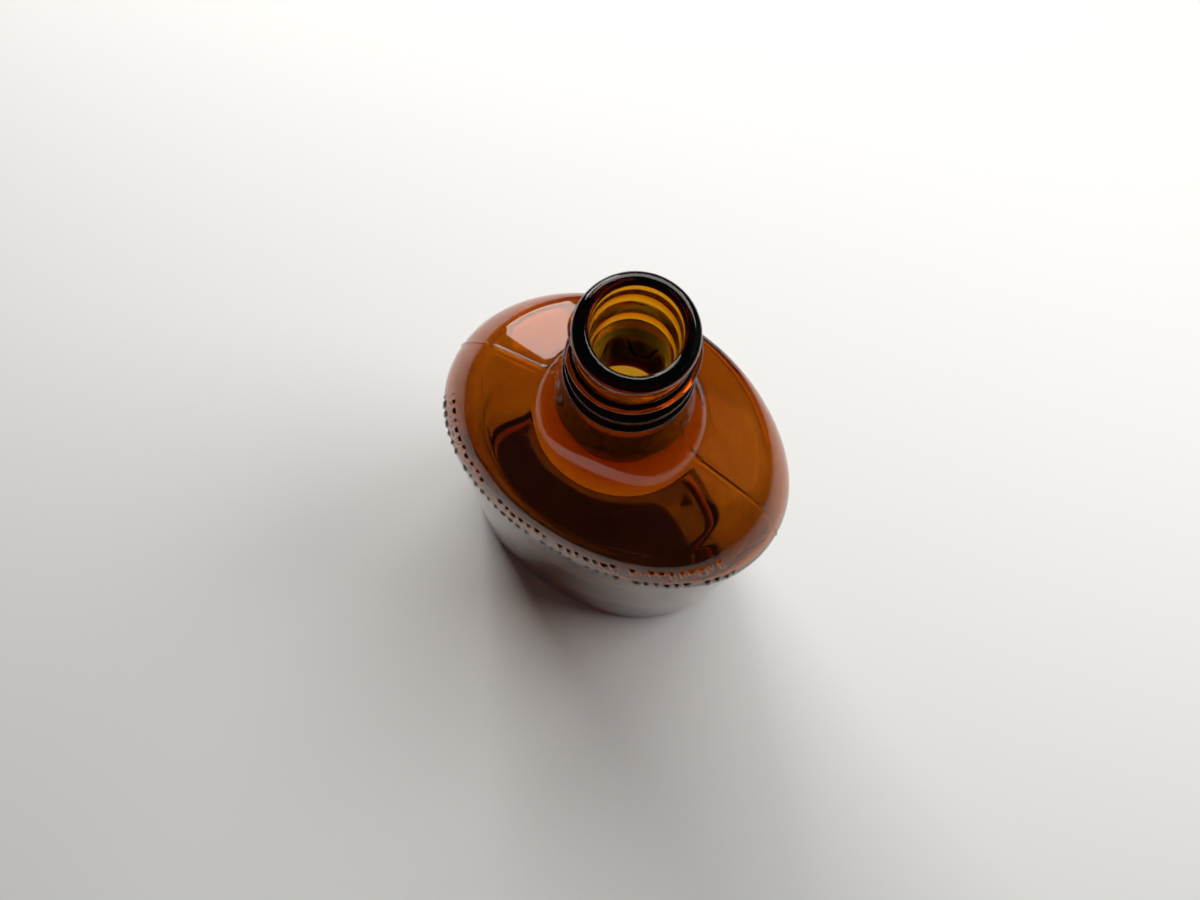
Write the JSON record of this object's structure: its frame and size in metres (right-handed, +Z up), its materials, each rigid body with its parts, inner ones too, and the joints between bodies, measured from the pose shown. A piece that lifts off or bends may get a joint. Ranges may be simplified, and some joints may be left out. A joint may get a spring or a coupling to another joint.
{
  "type": "whisky bottle",
  "caption": "Oval amber glass spirits bottle with a flaring neck and a screw-threaded mouth, open at the top, standing on the flat ring of its base.",
  "frame": {"origin": "middle of the base, on the plane of the ring that the bottle stands on", "axes": "+Z up along the bore, +X along the oval's long axis to a side seam, front towards -Y"},
  "size_m": [0.1004, 0.0702, 0.1885],
  "materials": {
    "amber_glass": "clear deep amber glass, smooth and fire-polished"
  },
  "bodies": {
    "root": {"sealing_lip": "amber_glass", "threaded_finish": "amber_glass", "locking_ring": "amber_glass", "transfer_bead": "amber_glass", "neck": "amber_glass", "front_shoulder": "amber_glass", "rear_shoulder": "amber_glass", "front_wall": "amber_glass", "rear_wall": "amber_glass", "base": "amber_glass"}
  },
  "joints": []
}
